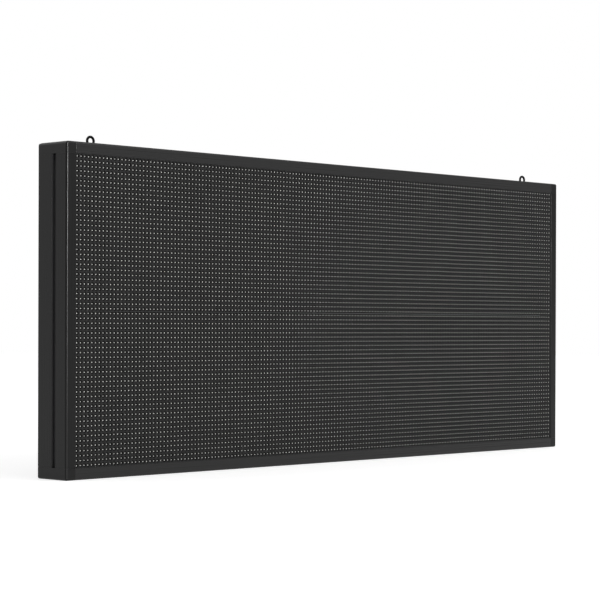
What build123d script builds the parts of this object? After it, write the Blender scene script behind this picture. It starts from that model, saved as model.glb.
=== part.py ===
from build123d import *
import os

# An LED matrix sign in a T-slot frame. Sizes are in millimetres. While a piece is drawn, x runs right
# from the middle of the sign, y runs back from the frame's front face and z runs up from its foot.

# Modules: square tiles of pixels, side by side with a hairline between them
pixel_pitch = 5.0
module_pixels = 32
module_columns = 5
module_rows = 2
module_gap = 0.2
array_clearance = 0.2

# Mask: the black grid in front of the LEDs, a skin with a rim that seats on the board
mask_recess = 0.6
mask_skin = 1.0
mask_window = 1.8
mask_rim = 0.8

# LED packages and the board that carries them
led_width = 1.5
led_height = 0.9
led_clearance = 0.05
board_inset = 0.2
board_thickness = 1.6
data_socket_width = 9.0
data_socket_length = 28.0
data_socket_height = 9.0

# Module kit: the moulded frame behind the board, with two upright ribs
kit_depth = 13.75
kit_wall = 2.0

# Module bars: steel straps across the frame that the kits are screwed to
bar_thickness = 2.0
outer_bar_height = 20.0
centre_bar_height = 36.0
bar_clearance = 0.4

# Power supply and the flat leads that run under it
supply_length = 190.0
supply_width = 68.0
supply_height = 19.5
supply_side_wall = 3.2
supply_foot_width = 8.0
supply_foot_length = 20.0
terminal_length = 14.0
terminal_drop = 9.0
lead_thickness = 2.0
lead_width = 8.0
lead_clearance = 0.4
power_plug_width = 18.0
power_plug_length = 10.0
cover_clearance = 0.7

# Controller card and ribbon cables
card_length = 50.0
card_width = 58.0
card_gap = 3.0
card_thickness = 1.6
card_chip = 14.0
card_chip_height = 2.2
plug_height = 7.3
ribbon_width = 20.0
ribbon_thickness = 1.0

# Rear cover, held in a groove around the frame, and its cable grommet
cover_thickness = 1.2
cover_margin = 0.5
groove_reach = 6.0
groove_clearance = 0.2
rear_lip = 2.4
vent_length = 36.0
vent_height = 3.6
vent_spacing = 48.0
vents_in_a_row = 10
vent_inset = 46.0
grommet_bore_diameter = 7.0
grommet_neck_diameter = 12.0
grommet_flange_diameter = 16.0
grommet_flange_thickness = 1.6
grommet_clearance = 0.05
grommet_offset = 60.0

# Frame extrusion
bezel_width = 12.2
frame_wall = 1.6
edge_radius = 2.3
inner_chamfer = 0.4
back_chamfer = 0.8
slot_centre = 20.6
slot_mouth = 6.5
slot_lip = 2.0
slot_width = 10.4
slot_cavity = 3.0
ledge_reach = 8.0
ledge_thickness = 1.6
ledge_clearance = 0.3

# Corner pieces
tenon_clearance = 0.2
tenon_length = 18.0

# Eye bolts and the nuts that hold them in the top slot
eye_diameter = 11.4
eye_wire = 2.7
eye_wire_sides = 8
eye_end_distance = 48.0
eye_shank_diameter = 4.0
eye_thread_clearance = 0.05
nut_thickness = 2.4
nut_clearance = 0.4

# Widths and heights that follow
module_size = pixel_pitch * module_pixels
mask_size = module_size - module_gap
board_size = mask_size - 2 * board_inset
opening_width = module_columns * module_size - module_gap + 2 * array_clearance
opening_height = module_rows * module_size - module_gap + 2 * array_clearance
frame_width = opening_width + 2 * bezel_width
frame_height = opening_height + 2 * bezel_width
left = -frame_width / 2
right = frame_width / 2
middle = frame_height / 2
column_places = [(i - (module_columns - 1) / 2) * module_size for i in range(module_columns)]
row_places = [middle + ((module_rows - 1) / 2 - i) * module_size for i in range(module_rows)]

# Depths that follow, one piece behind the other
led_front = mask_recess + mask_skin + led_clearance
board_front = led_front + led_height
board_back = board_front + board_thickness
kit_back = board_back + kit_depth
bar_back = kit_back + bar_thickness
ribbon_front = board_back + data_socket_height + plug_height
lead_back = bar_back + lead_thickness
supply_front = lead_back + lead_clearance
supply_back = supply_front + supply_height
cover_front = supply_back + cover_clearance
cover_back = cover_front + cover_thickness
groove_back = cover_back + groove_clearance
frame_depth = groove_back + rear_lip

# Places inside a kit: two upright ribs leave three windows, and each socket is in the middle of one
kit_window = (board_size - 4 * kit_wall) / 3
socket_offset = kit_window + kit_wall
pixel_span = (module_pixels - 1) * pixel_pitch

# Places in the frame's section, from its outer face inwards and from its front face back
slot_floor = slot_lip + slot_cavity
slot_front = slot_centre - slot_width / 2
slot_back = slot_centre + slot_width / 2
groove_floor = bezel_width - groove_reach


def block(x, y, z):
    # A box from its low and high corners along each axis
    spans = (x, y, z)
    sizes = [high - low for low, high in spans]
    return Pos(*[(high + low) / 2 for low, high in spans]) * Box(*sizes)


def about(centre, size):
    return (centre - size / 2, centre + size / 2)


def patch(across, deep):
    # A rectangle in the frame's section
    centre = [(high + low) / 2 for low, high in (across, deep)]
    return Pos(*centre) * Rectangle(across[1] - across[0], deep[1] - deep[0])


def slab(sketch, x, z, front, back):
    # A sketch of widths and heights, stood up at x and z and given its depth
    facing = Plane(origin=(x, front, z), x_dir=(1, 0, 0), z_dir=(0, 1, 0))
    return extrude(facing * sketch, amount=back - front)


def rod(diameter, x, z, front, back):
    return slab(Circle(diameter / 2), x, z, front, back)


def save(shape, name):
    # The row's origin is under the middle of the sign, so the frame moves forward by half its depth
    export_step(Pos(0, -frame_depth / 2, 0) * shape, f"parts/{name}.step")


def front_chamber():
    return (frame_wall, bezel_width - frame_wall), (frame_wall, slot_front - frame_wall)


def rear_chamber():
    return (frame_wall, bezel_width - frame_wall), (slot_back + frame_wall, cover_front - frame_wall)


def rail_section():
    # One extrusion on all four sides: hollow chambers, a T-slot in the outer face, and inside it a
    # ledge for the module bars and a groove for the rear cover
    section = patch((0, bezel_width), (0, frame_depth))
    section = fillet(section.vertices().sort_by_distance((0, 0, 0))[0], edge_radius)
    section = chamfer(section.vertices().sort_by_distance((bezel_width, 0, 0))[0], inner_chamfer)
    section = chamfer(section.vertices().sort_by_distance((0, frame_depth, 0))[0], back_chamfer)
    section -= patch((0, slot_lip), about(slot_centre, slot_mouth))
    section -= patch((slot_lip, slot_floor), (slot_front, slot_back))
    section -= patch((groove_floor, bezel_width), (cover_front, groove_back))
    section -= patch(*front_chamber())
    section -= patch((slot_floor + frame_wall, bezel_width - frame_wall), (slot_front, slot_back))
    section -= patch(*rear_chamber())
    return section + patch((bezel_width, bezel_width + ledge_reach), (bar_back, bar_back + ledge_thickness))


def frame_rails():
    upright = Plane(origin=(left, 0, bezel_width), x_dir=(1, 0, 0), z_dir=(0, 0, 1))
    flat = Plane(origin=(opening_width / 2, 0, 0), x_dir=(0, 0, 1), z_dir=(-1, 0, 0))
    side = extrude(upright * rail_section(), amount=opening_height)
    bottom = extrude(flat * rail_section(), amount=opening_width)
    # The side rails' ledges stop short of the ledges above and below
    inner_face = left + bezel_width
    cut_back = ledge_reach + ledge_clearance
    for end in (bezel_width, frame_height - bezel_width - cut_back):
        side -= block((inner_face, inner_face + cut_back), (bar_back, bar_back + ledge_thickness),
                      (end, end + cut_back))
    return {
        "frame_rail_left": side,
        "frame_rail_right": mirror(side, about=Plane.YZ),
        "frame_rail_bottom": bottom,
        "frame_rail_top": mirror(bottom, about=Plane.XY.offset(middle)),
    }


def corner_piece():
    # The lower left one: a moulded cap with its three outer edges rounded, and tenons for two rails
    inner = (left + bezel_width, bezel_width)
    cap = block((left, inner[0]), (0, frame_depth), (0, inner[1]))
    on_side = cap.edges().filter_by_position(Axis.X, left, left)
    on_foot = cap.edges().filter_by_position(Axis.Z, 0, 0)
    front = cap.edges().filter_by_position(Axis.Y, 0, 0)
    outer = [e for e in front if e in on_side or e in on_foot]
    cap = fillet(outer + [e for e in on_side if e in on_foot], edge_radius)
    back = cap.edges().filter_by_position(Axis.Y, frame_depth, frame_depth)
    inside = back.filter_by_position(Axis.X, *[inner[0]] * 2) + back.filter_by_position(Axis.Z, *[inner[1]] * 2)
    cap = chamfer([e for e in back if e not in inside], back_chamfer)
    cap -= block((left + groove_floor, inner[0]), (cover_front, groove_back), (groove_floor, inner[1]))
    for across, deep_span in (front_chamber(), rear_chamber()):
        low, high = across[0] + tenon_clearance, across[1] - tenon_clearance
        deep_span = (deep_span[0] + tenon_clearance, deep_span[1] - tenon_clearance)
        cap += block((left + low, left + high), deep_span, (inner[1], inner[1] + tenon_length))
        cap += block((inner[0], inner[0] + tenon_length), deep_span, (low, high))
    return cap


def corner_pieces():
    lower_left = corner_piece()
    lower_right = mirror(lower_left, about=Plane.YZ)
    half_way = Plane.XY.offset(middle)
    return {
        "corner_lower_left": lower_left,
        "corner_lower_right": lower_right,
        "corner_upper_left": mirror(lower_left, about=half_way),
        "corner_upper_right": mirror(lower_right, about=half_way),
    }


def led_mask(x, z):
    # A row of windows is one slit here, and the upright LED strips behind it part it into dots
    slit = Rectangle(pixel_span + mask_window, mask_window)
    face = Rectangle(mask_size, mask_size) - GridLocations(0, pixel_pitch, 1, module_pixels) * slit
    inside = mask_size - 2 * mask_rim
    rim = Rectangle(mask_size, mask_size) - Rectangle(inside, inside)
    skin_back = mask_recess + mask_skin
    return slab(face, x, z, mask_recess, skin_back) + slab(rim, x, z, skin_back, board_front)


def led_strips(z):
    # The LED packages of one row of modules: each column of packages is one strip
    strip = Rectangle(led_width, pixel_span + led_width)
    column = GridLocations(pixel_pitch, 0, module_pixels, 1)
    return [slab(place * strip, x, z, led_front, board_front) for x in column_places for place in column]


def led_board(x, z):
    board = slab(Rectangle(board_size, board_size), x, z, board_front, board_back)
    data_socket = Rectangle(data_socket_width, data_socket_length)
    for side in (-socket_offset, socket_offset):
        board += slab(data_socket, x + side, z, board_back, board_back + data_socket_height)
    return board


def module_kit(x, z):
    inside = board_size - 2 * kit_wall
    face = Rectangle(board_size, board_size) - Rectangle(inside, inside)
    face += GridLocations(socket_offset, 0, 2, 1) * Rectangle(kit_wall, board_size)
    return slab(face, x, z, board_back, kit_back)


def module_bars():
    length = opening_width - 2 * bar_clearance
    top = frame_height - bezel_width - bar_clearance
    foot = bezel_width + bar_clearance
    heights = {
        "module_bar_top": (top - outer_bar_height, top),
        "module_bar_centre": about(middle, centre_bar_height),
        "module_bar_bottom": (foot, foot + outer_bar_height),
    }
    return {name: block(about(0, length), (kit_back, bar_back), z) for name, z in heights.items()}


def power_supply():
    case = block(about(0, supply_length), (supply_front, supply_back), about(middle, supply_width))
    end = supply_length / 2
    case -= block((-end, terminal_length - end), (supply_back - terminal_drop, supply_back),
                  about(middle, supply_width - 2 * supply_side_wall))
    # Two feet stand on the centre bar and leave room for the leads below their ends
    foot_top = middle + centre_bar_height / 2
    for edge in (-end, end - supply_foot_width):
        case += block((edge, edge + supply_foot_width), (bar_back, supply_front),
                      (foot_top - supply_foot_length, foot_top))
    return case


def power_leads():
    # A flat lead along the centre bar, and one across it to the plugs of each column of modules
    ends = (column_places[0] - lead_width / 2, column_places[-1] + lead_width / 2)
    low = middle - centre_bar_height / 2
    leads = block(ends, (bar_back, lead_back), (low, low + lead_width))
    terminal = -supply_length / 2
    leads += block((terminal - lead_width, terminal), (bar_back, supply_back - terminal_drop),
                   (low, low + lead_width))
    for x in column_places:
        leads += block(about(x, lead_width), (bar_back, lead_back), (row_places[-1], row_places[0]))
        for z in row_places:
            leads += block(about(x, power_plug_width), (board_back, lead_back),
                           about(z, power_plug_length))
    return leads


def data_plug(x, z):
    plug = Rectangle(data_socket_width, data_socket_length)
    return slab(plug, x, z, board_back + data_socket_height, ribbon_front)


def ribbon_across(x, z):
    # From the right socket of one module, over the walls of two kits, to the left socket of the next
    plugs = (x + socket_offset, x + module_size - socket_offset)
    ends = (plugs[0] - data_socket_width / 2, plugs[1] + data_socket_width / 2)
    cable = block(ends, (ribbon_front, ribbon_front + ribbon_thickness), about(z, ribbon_width))
    return cable + data_plug(plugs[0], z) + data_plug(plugs[1], z)


def ribbon_down(x):
    # The chain turns back at the right-hand end, from each row of modules to the one below it
    cables = []
    for above, below in zip(row_places, row_places[1:]):
        ends = (below - data_socket_length / 2, above + data_socket_length / 2)
        cable = block(about(x, ribbon_width), (ribbon_front, ribbon_front + ribbon_thickness), ends)
        cables.append(cable + data_plug(x, above) + data_plug(x, below))
    return cables


def ribbon_cables():
    cables = [ribbon_across(x, z) for z in row_places for x in column_places[:-1]]
    return cables + ribbon_down(column_places[-1] + socket_offset)


def controller_card():
    # It plugs straight onto the first module's data socket
    x = column_places[0] - socket_offset
    z = row_places[0]
    card_back = ribbon_front + card_thickness
    card = data_plug(x, z)
    card_end = column_places[0] - power_plug_width / 2 - card_gap
    long_side = (card_end - card_length, card_end)
    card += block(long_side, (ribbon_front, card_back), about(z, card_width))
    chip = Rectangle(card_chip, card_chip)
    card += slab(chip, sum(long_side) / 2, z, card_back, card_back + card_chip_height)
    return card


def grommet_place():
    return right - bezel_width - grommet_offset, bezel_width + grommet_offset


def rear_cover():
    width = frame_width - 2 * (groove_floor + cover_margin)
    height = frame_height - 2 * (groove_floor + cover_margin)
    cover = slab(Rectangle(width, height), 0, middle, cover_front, cover_back)
    vent = Rectangle(vent_length, vent_height)
    rows = 2 * (middle - bezel_width - vent_inset)
    vents = GridLocations(vent_spacing, rows, vents_in_a_row, 2) * vent
    cover -= slab(Sketch() + vents, 0, middle, cover_front, cover_back)
    x, z = grommet_place()
    return cover - rod(grommet_neck_diameter + 2 * grommet_clearance, x, z, cover_front, cover_back)


def cable_grommet():
    x, z = grommet_place()
    inner_front = cover_front - grommet_flange_thickness
    grommet = rod(grommet_neck_diameter, x, z, inner_front, cover_back + grommet_flange_thickness)
    for face in (inner_front, cover_back):
        grommet += rod(grommet_flange_diameter, x, z, face, face + grommet_flange_thickness)
    return grommet - rod(grommet_bore_diameter, x, z, inner_front, cover_back + grommet_flange_thickness)


def eye_places():
    return (left + eye_end_distance, right - eye_end_distance)


def eye_bolt(x):
    # The ring goes down into the slot's mouth and seats on the nut that is pulled up under the lips
    seat = frame_height - slot_lip
    ring_radius = (eye_diameter - eye_wire) / 2
    wire = Pos(ring_radius, 0) * RegularPolygon(
        eye_wire / 2, eye_wire_sides, major_radius=False, rotation=180 / eye_wire_sides
    )
    ring_plane = Plane(origin=(x, slot_centre, seat + eye_diameter / 2), z_dir=(0, 1, 0))
    ring = ring_plane * revolve(Plane.XZ * wire, Axis.Z)
    low = seat - slot_cavity + nut_clearance
    high = seat + eye_wire / 2
    return ring + Pos(x, slot_centre, (low + high) / 2) * Cylinder(eye_shank_diameter / 2, high - low)


def slot_nut(x):
    side = slot_width - 2 * nut_clearance
    seat = frame_height - slot_lip
    nut = block(about(x, side), about(slot_centre, side), (seat - nut_thickness, seat))
    thread = Cylinder(eye_shank_diameter / 2 + eye_thread_clearance, 3 * nut_thickness)
    return nut - Pos(x, slot_centre, seat) * thread


os.makedirs("parts", exist_ok=True)
for name, piece in {**frame_rails(), **corner_pieces(), **module_bars()}.items():
    save(piece, name)
for row, z in enumerate(row_places, 1):
    save(Compound(led_strips(z)), f"led_packages_row_{row}")
    for column, x in enumerate(column_places, 1):
        save(led_mask(x, z), f"led_mask_row_{row}_{column}")
        save(led_board(x, z), f"led_board_row_{row}_{column}")
        save(module_kit(x, z), f"module_kit_row_{row}_{column}")
save(power_supply(), "power_supply")
save(power_leads(), "power_leads")
save(Compound(ribbon_cables()), "ribbon_cables")
save(controller_card(), "controller_card")
save(rear_cover(), "rear_cover")
save(cable_grommet(), "cable_grommet")
save(Compound([eye_bolt(x) for x in eye_places()]), "eye_bolts")
save(Compound([slot_nut(x) for x in eye_places()]), "slot_nuts")
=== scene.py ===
import math

import bmesh
import bpy
from mathutils import Matrix, Vector


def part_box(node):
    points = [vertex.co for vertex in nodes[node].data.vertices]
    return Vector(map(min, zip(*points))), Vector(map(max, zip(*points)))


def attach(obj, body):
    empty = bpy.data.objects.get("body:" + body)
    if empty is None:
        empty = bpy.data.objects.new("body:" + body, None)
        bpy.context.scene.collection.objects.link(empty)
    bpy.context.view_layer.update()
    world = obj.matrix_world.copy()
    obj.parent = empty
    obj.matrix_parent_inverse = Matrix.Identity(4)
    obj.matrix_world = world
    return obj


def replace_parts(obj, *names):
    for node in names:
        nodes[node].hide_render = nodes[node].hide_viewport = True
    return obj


# An LED matrix sign, switched off, in a black T-slot frame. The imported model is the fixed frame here:
# this script gives it its finish, each single pixel and the small metal parts. Lengths are in metres.

mm = 0.001

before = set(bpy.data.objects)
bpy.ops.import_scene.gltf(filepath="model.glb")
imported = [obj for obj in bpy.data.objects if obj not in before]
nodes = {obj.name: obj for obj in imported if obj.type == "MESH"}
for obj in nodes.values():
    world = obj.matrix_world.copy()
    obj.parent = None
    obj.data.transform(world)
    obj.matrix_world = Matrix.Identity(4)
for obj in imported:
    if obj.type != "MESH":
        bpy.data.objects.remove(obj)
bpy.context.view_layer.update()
print("frame loaded:", len(nodes), "nodes")


# Shared helpers

def linear(hexCode):
    # sRGB hex to the linear colour that a socket takes
    shares = [int(hexCode[i:i + 2], 16) / 255 for i in (1, 3, 5)]
    return (*[s / 12.92 if s <= 0.04045 else ((s + 0.055) / 1.055) ** 2.4 for s in shares], 1)


def addNode(tree, kind, inputs=None, **settings):
    node = tree.nodes.new(kind)
    for name, value in settings.items():
        setattr(node, name, value)
    for socket, value in (inputs or {}).items():
        if isinstance(value, bpy.types.NodeSocket):
            tree.links.new(value, node.inputs[socket])
        else:
            node.inputs[socket].default_value = value
    return node


def blend(tree, factor, first, second):
    # One colour where the factor is 0 and the other where it is 1
    mix = addNode(tree, "ShaderNodeMix", {"Factor": factor, 6: first, 7: second}, data_type="RGBA")
    return mix.outputs[2]


def newMaterial(name):
    material = bpy.data.materials.new(name)
    material.use_nodes = True
    tree = material.node_tree
    return material, tree, tree.nodes["Principled BSDF"]


def newObject(name, mesh, materials=()):
    piece = bpy.data.objects.new(name, mesh)
    bpy.context.scene.collection.objects.link(piece)
    for material in materials:
        mesh.materials.append(material)
    return piece


def meshFrom(shape, name, sharpAngle=None):
    # A bmesh becomes a mesh, smooth except at edges sharper than the angle
    mesh = bpy.data.meshes.new(name)
    shape.to_mesh(mesh)
    shape.free()
    if sharpAngle is not None:
        mesh.shade_smooth()
        mesh.set_sharp_from_angle(angle=sharpAngle)
    return mesh


def settled(piece):
    # The mesh with its modifiers applied, and the helper object gone
    depsgraph = bpy.context.evaluated_depsgraph_get()
    mesh = bpy.data.meshes.new_from_object(piece.evaluated_get(depsgraph), depsgraph=depsgraph)
    bpy.data.objects.remove(piece)
    return mesh


def paint(names, material):
    for name in names:
        node = nodes[name]
        node.data.materials.clear()
        node.data.materials.append(material)


def named(start):
    return sorted(name for name in nodes if name.startswith(start))


def middleOf(name):
    low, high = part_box(name)
    return (low + high) / 2


squareCorners = ((1, 1), (-1, 1), (-1, -1), (1, -1))


def evenTurns(count):
    return [2 * math.pi * i / count for i in range(count)]


def roundRing(shape, width, depth, sides):
    # Points on a circle that faces the front
    reach = width / 2
    return [shape.verts.new((reach * math.cos(t), depth, reach * math.sin(t))) for t in evenTurns(sides)]


def fanCorners(shape, corners, ring):
    # Faces between a square's corners and the ring inside it
    perCorner = len(ring) // len(corners)
    for i, corner in enumerate(corners):
        for at in range(i * perCorner, (i + 1) * perCorner):
            shape.faces.new((corner, ring[at], ring[(at + 1) % len(ring)]))
        shape.faces.new((corners[i - 1], corner, ring[i * perCorner]))


def skinRings(shape, rings, endless):
    # Quads from each ring of points to the next, and from the last to the first where the form is endless
    following = rings[1:] + rings[:1] if endless else rings[1:]
    for ring, after in zip(rings, following):
        for i in range(len(ring)):
            j = (i + 1) % len(ring)
            shape.faces.new((ring[i], ring[j], after[j], after[i]))


# Camera, at the place from which the photograph was taken

cameraValues = {
    "place": (-1.678, -1.57315, 0.158),
    "heading": 46.01,  # degrees from +Y towards +X
    "tilt": -0.19,
    "roll": 0.17,
    "lens": 117.98,
    "shiftUp": 0.0535,
    "nearClip": 0.05,
}


def makeCamera(values):
    data = bpy.data.cameras.new("camera")
    data.lens = values["lens"]
    data.shift_y = values["shiftUp"]
    data.clip_start = values["nearClip"]
    camera = bpy.data.objects.new("camera", data)
    turn = Matrix.Rotation(-math.radians(values["heading"]), 4, "Z")
    lift = Matrix.Rotation(math.radians(90 + values["tilt"]), 4, "X")
    roll = Matrix.Rotation(math.radians(values["roll"]), 4, "Z")
    camera.matrix_world = Matrix.Translation(values["place"]) @ turn @ lift @ roll
    bpy.context.scene.collection.objects.link(camera)
    bpy.context.scene.camera = camera


makeCamera(cameraValues)


# Studio: a pale floor, a white background and soft lamps

studioValues = {
    "floorSize": 14.0,
    "floorColour": "#eeeeee",
    "floorRoughness": 0.9,
    "floorGlow": 0.56,
    "ambient": 0.5,
    "flags": [
        # direction, how near to it the dark begins and is full, as cosines, and the light left there
        ((-1.0, -0.35, 0.0), 0.6, 0.9, 0.25),
        ((1.0, 0.2, 0.0), 0.45, 0.8, 0.3),
    ],
    "lamps": [
        # name, place, width, height, power in watts, lights by its gloss alone
        ("keySoftbox", (1.2, -2.4, 2.2), 1.2, 1.2, 30.0, False),
        ("edgeStrip", (-0.9, -2.87, 0.6), 0.5, 0.3, 96.0, True),
        ("rearSoftbox", (-1.2, 3.0, 2.0), 2.0, 1.6, 8.0, False),
    ],
    "aim": (0.0, 0.0, 0.17),
}


def seenDirectly(tree):
    # 1 for rays from the camera, off a glossy surface or through glass, else 0
    path = addNode(tree, "ShaderNodeLightPath")
    either = path.outputs["Is Camera Ray"]
    for kind in ("Is Glossy Ray", "Is Transmission Ray"):
        either = addNode(tree, "ShaderNodeMath", {0: either, 1: path.outputs[kind]},
                         operation="MAXIMUM").outputs[0]
    return either


def makeWorld(values):
    # White all round, with black flags to the left of the camera and on the right that only gloss shows
    world = bpy.data.worlds.new("studio")
    bpy.context.scene.world = world
    world.use_nodes = True
    tree = world.node_tree
    view = addNode(tree, "ShaderNodeTexCoord").outputs["Generated"]
    shown = 1.0
    for direction, start, full, left in values["flags"]:
        near = addNode(tree, "ShaderNodeVectorMath", {0: view, 1: Vector(direction).normalized()},
                       operation="DOT_PRODUCT").outputs["Value"]
        shade = addNode(tree, "ShaderNodeMapRange", {"Value": near, "From Min": start, "From Max": full,
                                                     "To Min": 1.0, "To Max": left}).outputs[0]
        shown = addNode(tree, "ShaderNodeMath", {0: shown, 1: shade}, operation="MULTIPLY").outputs[0]
    camera = addNode(tree, "ShaderNodeLightPath").outputs["Is Camera Ray"]
    shown = addNode(tree, "ShaderNodeMath", {0: shown, 1: camera}, operation="MAXIMUM").outputs[0]
    strength = addNode(tree, "ShaderNodeMapRange", {
        "Value": seenDirectly(tree), "To Min": values["ambient"], "To Max": shown})
    background = tree.nodes["Background"]
    background.inputs["Color"].default_value = (1, 1, 1, 1)
    tree.links.new(strength.outputs[0], background.inputs["Strength"])


def makeFloor(values):
    # The floor glows a little to the camera, so that it is as white as the background but keeps the shadow
    material, tree, shader = newMaterial("studioFloor")
    shader.inputs["Base Color"].default_value = linear(values["floorColour"])
    shader.inputs["Roughness"].default_value = values["floorRoughness"]
    shader.inputs["Emission Color"].default_value = (1, 1, 1, 1)
    glow = addNode(tree, "ShaderNodeMath", {0: seenDirectly(tree), 1: values["floorGlow"]},
                   operation="MULTIPLY")
    tree.links.new(glow.outputs[0], shader.inputs["Emission Strength"])
    shape = bmesh.new()
    bmesh.ops.create_grid(shape, x_segments=1, y_segments=1, size=values["floorSize"] / 2)
    newObject("studioFloor", meshFrom(shape, "studioFloor"), [material])


def makeLamps(values):
    for name, place, width, height, power, glossOnly in values["lamps"]:
        data = bpy.data.lights.new(name, "AREA")
        data.shape = "RECTANGLE"
        data.size = width
        data.size_y = height
        data.energy = power
        lamp = bpy.data.objects.new(name, data)
        lamp.visible_diffuse = not glossOnly
        lamp.location = place
        lamp.rotation_euler = (Vector(values["aim"]) - Vector(place)).to_track_quat("-Z", "Y").to_euler()
        bpy.context.scene.collection.objects.link(lamp)


makeWorld(studioValues)
makeFloor(studioValues)
makeLamps(studioValues)
bpy.context.scene.view_settings.view_transform = "Standard"
print("camera and studio ready")


# Materials. Each pattern reads Object coordinates, and its grain is the size of its marks along x, y and z

noiseValues = {
    "detail": 2.0,
    "darkest": 0.3,  # the noise's values that give the dark and the light colour
    "lightest": 0.7,
}


def grainedFinish(name, values):
    # A surface whose colour, roughness and height follow one noise pattern
    material, tree, shader = newMaterial(name)
    place = addNode(tree, "ShaderNodeTexCoord").outputs["Object"]
    fine = addNode(tree, "ShaderNodeMapping", {"Vector": place,
                                               "Scale": [1 / size for size in values["grain"]]})
    noise = addNode(tree, "ShaderNodeTexNoise", {"Vector": fine.outputs[0], "Scale": 1.0,
                                                 "Detail": noiseValues["detail"]})
    pattern = addNode(tree, "ShaderNodeMapRange", {
        "Value": noise.outputs[0], "From Min": noiseValues["darkest"], "From Max": noiseValues["lightest"]})
    pattern = pattern.outputs[0]
    tint = blend(tree, pattern, linear(values["dark"]), linear(values["light"]))
    low, high = values["roughness"]
    rough = addNode(tree, "ShaderNodeMapRange", {"Value": pattern, "To Min": low, "To Max": high})
    bump = addNode(tree, "ShaderNodeBump", {"Height": pattern, "Strength": 1.0, "Distance": values["relief"]})
    tree.links.new(tint, shader.inputs["Base Color"])
    tree.links.new(rough.outputs[0], shader.inputs["Roughness"])
    tree.links.new(bump.outputs[0], shader.inputs["Normal"])
    shader.inputs["Metallic"].default_value = values.get("metallic", 0.0)
    shader.inputs["IOR"].default_value = 1.5
    shader.inputs["Specular IOR Level"].default_value = values.get("specular", 0.5)
    return material


# Black anodised aluminium, extruded: a dyed oxide layer, dark and satin, with faint lines from the die
# that run along the rail. Real die lines are about 0.1 mm apart and are drawn at 0.5 mm, so that they show.
# The level rails are coloured a shade lighter than the uprights, though both are one extrusion: a painted
# sheen for the light that their level die lines catch from above.
anodisedValues = {
    "dark": "#131313",
    "light": "#161616",
    "roughness": (0.27, 0.29),
    "relief": 0.0006 * mm,
    "specular": 0.18,
}
lineAcross = 0.5 * mm
lineAlong = 180 * mm
# The lighter colour here is painted sheen: the same oxide as the uprights, coloured as if lit from above
levelRailPaintedSheenFinish = grainedFinish("blackAnodisedLevel", {
    **anodisedValues, "grain": (lineAlong, lineAcross, lineAcross), "dark": "#2e2e2e", "light": "#303030"})
uprightRailFinish = grainedFinish("blackAnodisedUpright", {
    **anodisedValues, "grain": (lineAcross, lineAcross, lineAlong)})

# Inside the T-slot the faces get a duller copy of the oxide, coloured much lighter and greyer than the rails:
# painted light that lifts the slot out of its shade
slotPaintedLightFinish = grainedFinish("dullAnodisedSlot", {
    "dark": "#505051",
    "light": "#5b5b5c",
    "grain": (0.8 * mm,) * 3,
    "roughness": (0.6, 0.7),
    "relief": 0.01 * mm,
    "specular": 0.04,
})

# Glass-filled nylon, moulded: a fine spark-eroded grain from the tool, a little duller than the rails
nylonFinish = grainedFinish("blackMouldedNylon", {
    "dark": "#191919",
    "light": "#1d1d1d",
    "grain": (0.45 * mm,) * 3,
    "roughness": (0.28, 0.36),
    "relief": 0.006 * mm,
    "specular": 0.17,
})

# Matt black polycarbonate, moulded: the mask's skin, which keeps stray light off the dots
maskFinish = grainedFinish("mattMaskPolycarbonate", {
    "dark": "#343434",
    "light": "#393939",
    "grain": (0.6 * mm,) * 3,
    "roughness": (0.64, 0.72),
    "relief": 0.005 * mm,
    "specular": 0.06,
})
kitFinish = grainedFinish("mouldedKitPolycarbonate", {
    "dark": "#161617",
    "light": "#1d1d1e",
    "grain": (0.8 * mm,) * 3,
    "roughness": (0.5, 0.6),
    "relief": 0.02 * mm,
})

# Black solder mask over a glass-fibre board: matt and very dark, with the weave just showing
blackBoardFinish = grainedFinish("blackSolderMask", {
    "dark": "#070808",
    "light": "#0b0c0c",
    "grain": (0.7 * mm, 0.7 * mm, 1.4 * mm),
    "roughness": (0.45, 0.55),
    "relief": 0.008 * mm,
    "specular": 0.05,
})
# The card has the usual green one, which is glossier
greenBoardFinish = grainedFinish("greenSolderMask", {
    "dark": "#0b4a2a",
    "light": "#136238",
    "grain": (1.2 * mm, 0.7 * mm, 0.9 * mm),
    "roughness": (0.3, 0.42),
    "relief": 0.008 * mm,
})

# Zinc-plated steel strip: bright and slightly blue, cloudy from the bath
zincFinish = grainedFinish("zincPlatedSteel", {
    "dark": "#9a9c9e",
    "light": "#c3c5c6",
    "grain": (9 * mm, 5 * mm, 9 * mm),
    "roughness": (0.3, 0.45),
    "relief": 0.01 * mm,
    "metallic": 1.0,
})

# Mill-finish aluminium sheet of the power supply's case: rolling lines along its length
supplyFinish = grainedFinish("rolledAluminiumCase", {
    "dark": "#a2a5a7",
    "light": "#c6c9ca",
    "grain": (60 * mm, 0.6 * mm, 0.6 * mm),
    "roughness": (0.32, 0.44),
    "relief": 0.006 * mm,
    "metallic": 1.0,
})

# Vinyl insulation: soft gloss, slightly uneven from the extruder
leadFinish = grainedFinish("redVinylLead", {
    "dark": "#8c1414",
    "light": "#a31d1b",
    "grain": (14 * mm, 1.2 * mm, 14 * mm),
    "roughness": (0.35, 0.45),
    "relief": 0.02 * mm,
})
ribbonFinish = grainedFinish("greyRibbonVinyl", {
    "dark": "#8a8a8c",
    "light": "#a5a5a6",
    "grain": (40 * mm, 1.27 * mm, 1.27 * mm),
    "roughness": (0.45, 0.55),
    "relief": 0.08 * mm,
})

# Powder coat on the rear cover: orange peel about 1.5 mm across
coverFinish = grainedFinish("blackPowderCoat", {
    "dark": "#1c1c1d",
    "light": "#242425",
    "grain": (1.5 * mm,) * 3,
    "roughness": (0.5, 0.58),
    "relief": 0.05 * mm,
    "specular": 0.4,
})

# Moulded rubber: nearly black, dull and dusty
rubberFinish = grainedFinish("mouldedRubber", {
    "dark": "#121212",
    "light": "#1a1a1a",
    "grain": (0.5 * mm,) * 3,
    "roughness": (0.7, 0.8),
    "relief": 0.03 * mm,
    "specular": 0.35,
})

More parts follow.
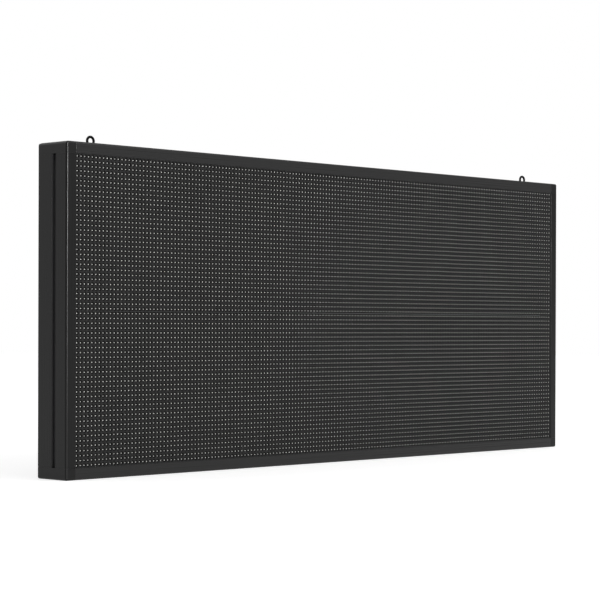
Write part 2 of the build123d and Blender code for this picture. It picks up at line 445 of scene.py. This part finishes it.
# Black oxide on steel wire: almost black and dull, with little left of its oil
oxideFinish = grainedFinish("blackOxideSteel", {
    "dark": "#0b0b0b",
    "light": "#121212",
    "grain": (0.8 * mm,) * 3,
    "roughness": (0.4, 0.5),
    "relief": 0.01 * mm,
    "specular": 0.06,
})
print("materials ready")


# The pixel grid: one tile, repeated by a Geometry Nodes tree over a module

gridValues = {
    "pitch": 5 * mm,
    "across": 32,
    "down": 32,
}


def makeGridTree():
    tree = bpy.data.node_groups.new("pixelGrid", "GeometryNodeTree")
    face = tree.interface
    face.new_socket(name="Tile", in_out="INPUT", socket_type="NodeSocketGeometry")
    for name in ("Across", "Down", "Seed"):
        face.new_socket(name=name, in_out="INPUT", socket_type="NodeSocketInt")
    for name in ("Pitch", "Shift", "Turn", "Weld"):
        face.new_socket(name=name, in_out="INPUT", socket_type="NodeSocketFloat")
    face.new_socket(name="Material", in_out="INPUT", socket_type="NodeSocketMaterial")
    face.new_socket(name="Geometry", in_out="OUTPUT", socket_type="NodeSocketGeometry")
    given = addNode(tree, "NodeGroupInput").outputs

    def span(count):
        # One pitch less than the number of pixels in a row
        gaps = addNode(tree, "ShaderNodeMath", {0: given[count], 1: 1.0}, operation="SUBTRACT")
        return addNode(tree, "ShaderNodeMath", {0: gaps.outputs[0], 1: given["Pitch"]},
                       operation="MULTIPLY").outputs[0]

    grid = addNode(tree, "GeometryNodeMeshGrid", {"Size X": span("Across"), "Size Y": span("Down"),
                                                  "Vertices X": given["Across"], "Vertices Y": given["Down"]})
    upright = addNode(tree, "GeometryNodeTransform", {"Geometry": grid.outputs[0],
                                                      "Rotation": (math.pi / 2, 0, 0)})
    # Each package sits a hair off its place and is turned a little, as the placing machine leaves it
    drift = addNode(tree, "FunctionNodeRandomValue", {0: (-1, 0, -1), 1: (1, 0, 1), "Seed": given["Seed"]},
                    data_type="FLOAT_VECTOR")
    shift = addNode(tree, "ShaderNodeVectorMath", {0: drift.outputs[0], "Scale": given["Shift"]},
                    operation="SCALE")
    placed = addNode(tree, "GeometryNodeSetPosition", {"Geometry": upright.outputs[0],
                                                       "Offset": shift.outputs[0]})
    twist = addNode(tree, "FunctionNodeRandomValue", {2: -1.0, 3: 1.0, "Seed": given["Seed"]},
                    data_type="FLOAT")
    angle = addNode(tree, "ShaderNodeMath", {0: twist.outputs[1], 1: given["Turn"]}, operation="MULTIPLY")
    turn = addNode(tree, "ShaderNodeCombineXYZ", {"Y": angle.outputs[0]})
    copies = addNode(tree, "GeometryNodeInstanceOnPoints", {
        "Points": placed.outputs[0], "Instance": given["Tile"], "Rotation": turn.outputs[0]})
    tone = addNode(tree, "FunctionNodeRandomValue", {2: 0.0, 3: 1.0, "Seed": given["Seed"]},
                   data_type="FLOAT")
    toned = addNode(tree, "GeometryNodeStoreNamedAttribute",
                    {"Geometry": copies.outputs[0], "Name": "tone", "Value": tone.outputs[1]},
                    data_type="FLOAT", domain="INSTANCE")
    real = addNode(tree, "GeometryNodeRealizeInstances", {"Geometry": toned.outputs[0]})
    welded = addNode(tree, "GeometryNodeMergeByDistance", {"Geometry": real.outputs[0],
                                                           "Distance": given["Weld"]})
    finished = addNode(tree, "GeometryNodeSetMaterial", {"Geometry": welded.outputs[0],
                                                         "Material": given["Material"]})
    addNode(tree, "NodeGroupOutput", {"Geometry": finished.outputs[0]})
    return tree


gridTree = makeGridTree()


def tiledModule(tile, material, seed=0, shift=0.0, turn=0.0, weld=0.0):
    # The tile's mesh, repeated over one module about the origin
    helper = newObject("moduleHelper", tile)
    modifier = helper.modifiers.new("pixelGrid", "NODES")
    modifier.node_group = gridTree
    wanted = {"Across": gridValues["across"], "Down": gridValues["down"], "Pitch": gridValues["pitch"],
              "Seed": seed, "Shift": shift, "Turn": turn, "Weld": weld, "Material": material}
    for socket in gridTree.interface.items_tree:
        if socket.in_out == "INPUT" and socket.name in wanted:
            modifier[socket.identifier] = wanted[socket.name]
    return settled(helper)


# Masks: a skin with a round, slightly conical window over each pixel, and a rim that seats on the board

maskValues = {
    "skin": 1.0 * mm,
    "rim": 0.8 * mm,
    "windowFront": 4.3 * mm,
    "windowBack": 3.4 * mm,
    "windowSides": 12,
    "sharpAngle": math.radians(40),
    "weld": 0.01 * mm,
    "borderReach": 1.0 * mm,  # how far a point of the border may lie from the module's edge
}


def maskTile(values, front):
    # One pixel's square of the skin, open at its four sides, where it welds to its neighbours
    half = gridValues["pitch"] / 2
    shape = bmesh.new()
    rings = []
    for depth, width in ((front, values["windowFront"]), (front + values["skin"], values["windowBack"])):
        corners = [shape.verts.new((x * half, depth, z * half)) for x, z in squareCorners]
        rings.append(roundRing(shape, width, depth, values["windowSides"]))
        fanCorners(shape, corners, rings[-1])
    skinRings(shape, rings, False)
    return meshFrom(shape, "maskTile")


def closedMask(mesh, values, front, back, half):
    # Trims the welded skin to the module's size and closes it with the rim
    shape = bmesh.new()
    shape.from_mesh(mesh)
    bpy.data.meshes.remove(mesh)
    edge = gridValues["across"] * gridValues["pitch"] / 2
    near = front + values["skin"] / 2
    inner = half - values["rim"]
    border = [e for e in shape.edges if e.is_boundary]
    frontBorder = [e for e in border if e.verts[0].co.y < near]

    def spread(verts, size, depth=None):
        # Puts the border's points on a square of that half width
        for vert in verts:
            for axis in (0, 2):
                if abs(vert.co[axis]) > edge - values["borderReach"]:
                    vert.co[axis] = math.copysign(size, vert.co[axis])
            if depth is not None:
                vert.co.y = depth

    spread({v for e in border for v in e.verts if v.co.y > near}, inner)
    spread({v for e in frontBorder for v in e.verts}, half)
    edges = frontBorder
    for size, depth in ((half, back), (inner, back), (inner, front + values["skin"])):
        made = bmesh.ops.extrude_edge_only(shape, edges=edges)["geom"]
        edges = [item for item in made if isinstance(item, bmesh.types.BMEdge)]
        spread({v for e in edges for v in e.verts}, size, depth)
    bmesh.ops.remove_doubles(shape, verts=shape.verts, dist=values["weld"])
    bmesh.ops.recalc_face_normals(shape, faces=shape.faces)
    return meshFrom(shape, "mask", values["sharpAngle"])


def makeMasks(values):
    low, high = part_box("led_mask_row_1_1")
    skin = tiledModule(maskTile(values, low.y), maskFinish, weld=values["weld"])
    pattern = closedMask(skin, values, low.y, high.y, (high.x - low.x) / 2)
    for name in named("led_mask"):
        centre = middleOf(name)
        mesh = pattern.copy()
        mesh.transform(Matrix.Translation((centre.x, 0, centre.z)))
        mesh.materials.clear()
        piece = newObject(name.replace("led_mask", "pixelMask"), mesh, [maskFinish])
        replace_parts(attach(piece, "root"), name)
    print("masks:", len(named("led_mask")), "of", len(pattern.polygons), "faces")


makeMasks(maskValues)


# LED packages: a black moulded body with a round, pale resin window, one for each pixel

ledValues = {
    "width": 1.5 * mm,
    "windowWidth": 1.3 * mm,
    "windowSides": 8,
    "shift": 0.02 * mm,
    "turn": math.radians(1),
    "body": {"dark": "#1b1b1b", "light": "#262626", "roughness": 0.55},
    "window": {"dark": "#e0e0dc", "light": "#eeeeea", "roughness": 0.25},
    "resinIor": 1.53,
}


def ledFinish(values):
    # Black polyphthalamide body and milky epoxy window: the body is lost behind the mask and the window shows
    # as a pale dot. The attribute tone differs from package to package, and resin is 1 on the window.
    material, tree, shader = newMaterial("paleLedPackage")
    tone = addNode(tree, "ShaderNodeAttribute", attribute_name="tone").outputs["Fac"]
    resin = addNode(tree, "ShaderNodeAttribute", attribute_name="resin").outputs["Fac"]
    body, window = [blend(tree, tone, linear(part["dark"]), linear(part["light"]))
                    for part in (values["body"], values["window"])]
    rough = addNode(tree, "ShaderNodeMapRange", {"Value": resin, "To Min": values["body"]["roughness"],
                                                 "To Max": values["window"]["roughness"]})
    tree.links.new(blend(tree, resin, body, window), shader.inputs["Base Color"])
    tree.links.new(rough.outputs[0], shader.inputs["Roughness"])
    shader.inputs["IOR"].default_value = values["resinIor"]
    return material


def ledTile(values, front, back):
    half = values["width"] / 2
    shape = bmesh.new()
    resin = shape.faces.layers.float.new("resin")
    top, foot = [[shape.verts.new((x * half, depth, z * half)) for x, z in squareCorners]
                 for depth in (front, back)]
    ring = roundRing(shape, values["windowWidth"], front, values["windowSides"])
    fanCorners(shape, top, ring)
    skinRings(shape, [top, foot], False)
    shape.faces.new(ring)[resin] = 1.0
    shape.faces.new(foot)
    bmesh.ops.recalc_face_normals(shape, faces=shape.faces)
    return meshFrom(shape, "ledTile")


def makeLeds(values):
    finish = ledFinish(values)
    modules = [middleOf(name) for name in named("led_mask")]
    for row, name in enumerate(named("led_packages"), 1):
        low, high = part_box(name)
        tile = ledTile(values, low.y, high.y)
        joined = bmesh.new()
        for column, centre in enumerate(place for place in modules if low.z < place.z < high.z):
            module = tiledModule(tile.copy(), finish, row * 10 + column, values["shift"], values["turn"])
            module.transform(Matrix.Translation((centre.x, 0, centre.z)))
            joined.from_mesh(module)
            bpy.data.meshes.remove(module)
        piece = newObject(f"ledPackagesRow{row}", meshFrom(joined, "ledPackages"), [finish])
        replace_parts(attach(piece, "root"), name)
        print(piece.name, len(piece.data.polygons), "faces")


makeLeds(ledValues)


# Frame: the rails and corner pieces, with the small rounding that catches the light along each edge

frameValues = {
    "railRounding": 0.2 * mm,
    "cornerRounding": 0.3 * mm,
    "coverRounding": 0.25 * mm,
    "lipRounding": 0.05 * mm,
    "capBackRounding": 3.0 * mm,
    "capSideRounding": 3.4 * mm,
    "slotHalfWidth": 5.4 * mm,
    "crispDepth": 6.0 * mm,  # down to here the slot's edges stay crisp
    "dullDepths": (0.5 * mm, 5.4 * mm),  # and between these two its faces get the dull finish with painted light
    "roundingAngle": math.radians(35),
    "roundingSegments": 2,
    "flatAngle": math.radians(1),
    "weld": 0.002 * mm,
    "cutTolerance": 0.001 * mm,
}


def dressedCopy(node, pieceName, material, rounding, reshape=None):
    # The node's own shape with its facets joined and its edges rounded. The rounding is one radius for all
    # edges, or a function that gives each its own.
    shape = bmesh.new()
    shape.from_mesh(nodes[node].data)
    bmesh.ops.remove_doubles(shape, verts=shape.verts, dist=frameValues["weld"])
    bmesh.ops.dissolve_limit(shape, angle_limit=frameValues["flatAngle"], verts=shape.verts,
                             edges=shape.edges)
    if reshape:
        reshape(shape)
    weight = shape.edges.layers.float.new("bevel_weight_edge")
    sharp = [e for e in shape.edges if e.calc_face_angle(0) > frameValues["roundingAngle"]]
    radii = [rounding(e) if callable(rounding) else rounding for e in sharp]
    largest = max(radii)
    for edge, radius in zip(sharp, radii):
        edge[weight] = radius / largest
    helper = newObject("edgeHelper", meshFrom(shape, pieceName))
    bevel = helper.modifiers.new("edges", "BEVEL")
    bevel.width = largest
    bevel.segments = frameValues["roundingSegments"]
    bevel.limit_method = "WEIGHT"
    # Normals follow the large faces, so that the flats stay flat beside their rounded edges
    helper.modifiers.new("flats", "WEIGHTED_NORMAL").keep_sharp = True
    helper.data.shade_smooth()
    mesh = settled(helper)
    mesh.materials.clear()
    piece = newObject(pieceName, mesh, [material])
    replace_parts(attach(piece, "root"), node)
    return piece


def inSlot(node, axis):
    # Tests whether a point is beside the rail's slot, between two depths from the rail's outer face. The
    # axis crosses the rail, and the eyes stand in the middle of the slot.
    slotCentre = middleOf("eye_bolts").y
    frameMiddle = (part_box("frame_rail_top")[1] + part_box("frame_rail_bottom")[0]) / 2
    low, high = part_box(node)
    outer = high[axis] if middleOf(node)[axis] > frameMiddle[axis] else low[axis]

    def test(point, shallow, deep):
        beside = abs(point.y - slotCentre) < frameValues["slotHalfWidth"]
        return beside and shallow <= abs(point[axis] - outer) < deep

    return test


def slotRounding(slotTest):
    # The slot's lips stay crisp
    def radius(edge):
        centre = (edge.verts[0].co + edge.verts[1].co) / 2
        crisp = slotTest(centre, 0, frameValues["crispDepth"])
        return frameValues["lipRounding" if crisp else "railRounding"]

    return radius


def easedCorner(shape, first, second, radius):
    # Rounds the outer edge between two faces, each given as an axis, its place there and the way inwards
    for axis, place, inwards in (first, second):
        normal = Vector((0, 0, 0))
        normal[axis] = 1
        point = normal * (place + inwards * radius)
        bmesh.ops.bisect_plane(shape, geom=shape.verts[:] + shape.edges[:] + shape.faces[:],
                               plane_co=point, plane_no=normal, dist=frameValues["cutTolerance"])
    for vert in shape.verts:
        away = Vector([radius - (vert.co[axis] - place) * inwards
                       for axis, place, inwards in (first, second)])
        if min(away) > 0 and away.length > radius:
            away = away.normalized() * radius
            for (axis, place, inwards), reach in zip((first, second), away):
                vert.co[axis] = place + inwards * (radius - reach)


def upperCapShape(node):
    # The upper caps are rounded more, at the back of their top and at their outer end
    low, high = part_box(node)
    outer = (0, low.x, 1) if high.x < 0 else (0, high.x, -1)
    top = (2, high.z, -1)

    def reshape(shape):
        easedCorner(shape, outer, top, frameValues["capSideRounding"])
        easedCorner(shape, (1, high.y, -1), top, frameValues["capBackRounding"])

    return reshape


def dullPaintedLightSlot(rail, slotTest):
    # The faces inside the rail's slot get the duller finish, whose lighter grey is painted light in the
    # slot's shade
    rail.data.materials.append(slotPaintedLightFinish)
    for face in rail.data.polygons:
        if slotTest(face.center, *frameValues["dullDepths"]):
            face.material_index = 1


def makeFrame(values):
    rails = (("left", "railUprightLeft", 0), ("right", "railUprightRight", 0),
             ("bottom", "railLevelBottom", 2), ("top", "railLevelTop", 2))
    for side, pieceName, axis in rails:
        node = f"frame_rail_{side}"
        finish = uprightRailFinish if axis == 0 else levelRailPaintedSheenFinish
        slotTest = inSlot(node, axis)
        rail = dressedCopy(node, pieceName, finish, slotRounding(slotTest))
        dullPaintedLightSlot(rail, slotTest)
    for name in named("corner_"):
        words = "".join(word.title() for word in name.split("_")[1:])
        dressedCopy(name, f"corner{words}", nylonFinish, values["cornerRounding"],
                    upperCapShape(name) if "upper" in name else None)
    dressedCopy("rear_cover", "rearCover", coverFinish, values["coverRounding"])


makeFrame(frameValues)
print("frame ready")


# Eye bolts: round wire bent into a ring over a threaded shank

eyeValues = {
    "outerWidth": 11.4 * mm,
    "wire": 2.7 * mm,
    "ringSteps": 64,
    "wireSteps": 20,
    "shankWidth": 3.9 * mm,
    "shankSteps": 24,
    "threadPitch": 0.7 * mm,
    "threadDepth": 0.22 * mm,
    "sharpAngle": math.radians(40),
}


def addRing(shape, centre, values):
    reach = (values["outerWidth"] - values["wire"]) / 2
    thickness = values["wire"] / 2
    rings = []
    for turn in evenTurns(values["ringSteps"]):
        out = Vector((math.cos(turn), 0, math.sin(turn)))
        rings.append([shape.verts.new(centre + out * (reach + thickness * math.cos(around))
                                      + Vector((0, thickness * math.sin(around), 0)))
                      for around in evenTurns(values["wireSteps"])])
    skinRings(shape, rings, True)


def addShank(shape, foot, profile, steps):
    # Turns a profile of (radius, height above the foot) points into a closed upright form
    axis = Vector((0, 0, 1))
    side = axis.orthogonal().normalized()
    other = axis.cross(side)
    rings = [[shape.verts.new(foot + axis * height + (side * math.cos(t) + other * math.sin(t)) * radius)
              for t in evenTurns(steps)] for radius, height in profile]
    skinRings(shape, rings, False)
    shape.faces.new(rings[0])
    shape.faces.new(rings[-1])


def makeEyeBolts(values):
    low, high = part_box("eye_bolts")
    half = values["outerWidth"] / 2
    shape = bmesh.new()
    for x in (low.x + half, high.x - half):
        centre = Vector((x, (low.y + high.y) / 2, high.z - half))
        addRing(shape, centre, values)
        # The thread's crests and roots, as close rings from the foot up to the wire
        top = centre.z - half + values["wire"] / 2
        reach = values["shankWidth"] / 2
        turns = int((top - low.z) / values["threadPitch"])
        step = (top - low.z) / turns
        profile = [(reach - values["threadDepth"], 0)]
        for i in range(turns):
            profile.append((reach, (i + 0.5) * step))
            profile.append((reach - values["threadDepth"], (i + 1) * step))
        addShank(shape, Vector((x, centre.y, low.z)), profile, values["shankSteps"])
    bmesh.ops.recalc_face_normals(shape, faces=shape.faces)
    piece = newObject("eyeBolts", meshFrom(shape, "eyeBolts", values["sharpAngle"]), [oxideFinish])
    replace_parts(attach(piece, "root"), "eye_bolts")


makeEyeBolts(eyeValues)


# Cable grommet: a rubber ring with two rounded flanges, in the rear cover

grommetValues = {
    "bore": 7.0 * mm,
    "neck": 12.0 * mm,
    "flangeThickness": 1.6 * mm,
    "rounding": 0.5 * mm,
    "steps": 56,
    "arcSteps": 5,
    "sharpAngle": math.radians(35),
    "weld": 0.001 * mm,
}


def makeGrommet(values):
    low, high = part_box("cable_grommet")
    centre = middleOf("cable_grommet")
    reach = (high.x - low.x) / 2
    depth = high.y - low.y
    rounding = values["rounding"]
    profile = []

    def arc(radius, along, start):
        for i in range(values["arcSteps"] + 1):
            turn = math.radians(start + 90 * i / values["arcSteps"])
            profile.append((radius + rounding * math.cos(turn), along + rounding * math.sin(turn)))

    bore = values["bore"] / 2
    neck = values["neck"] / 2
    flange = values["flangeThickness"]
    arc(bore + rounding, rounding, 180)
    arc(reach - rounding, rounding, -90)
    arc(reach - rounding, flange - rounding, 0)
    profile += [(neck, flange), (neck, depth - flange)]
    arc(reach - rounding, depth - flange + rounding, -90)
    arc(reach - rounding, depth - rounding, 0)
    arc(bore + rounding, depth - rounding, 90)
    shape = bmesh.new()
    rings = [[shape.verts.new((centre.x + radius * math.cos(t), low.y + along,
                               centre.z + radius * math.sin(t)))
              for t in evenTurns(values["steps"])] for radius, along in profile]
    skinRings(shape, rings, True)
    bmesh.ops.remove_doubles(shape, verts=shape.verts, dist=values["weld"])
    bmesh.ops.recalc_face_normals(shape, faces=shape.faces)
    piece = newObject("cableGrommet", meshFrom(shape, "cableGrommet", values["sharpAngle"]), [rubberFinish])
    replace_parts(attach(piece, "root"), "cable_grommet")


makeGrommet(grommetValues)
print("eye bolts and grommet ready")


# Inner pieces keep their solids and get their finishes

paint(named("led_board"), blackBoardFinish)
paint(named("module_kit"), kitFinish)
paint(named("module_bar") + ["slot_nuts"], zincFinish)
paint(["power_supply"], supplyFinish)
paint(["power_leads"], leadFinish)
paint(["ribbon_cables"], ribbonFinish)
paint(["controller_card"], greenBoardFinish)
print("inner pieces painted")
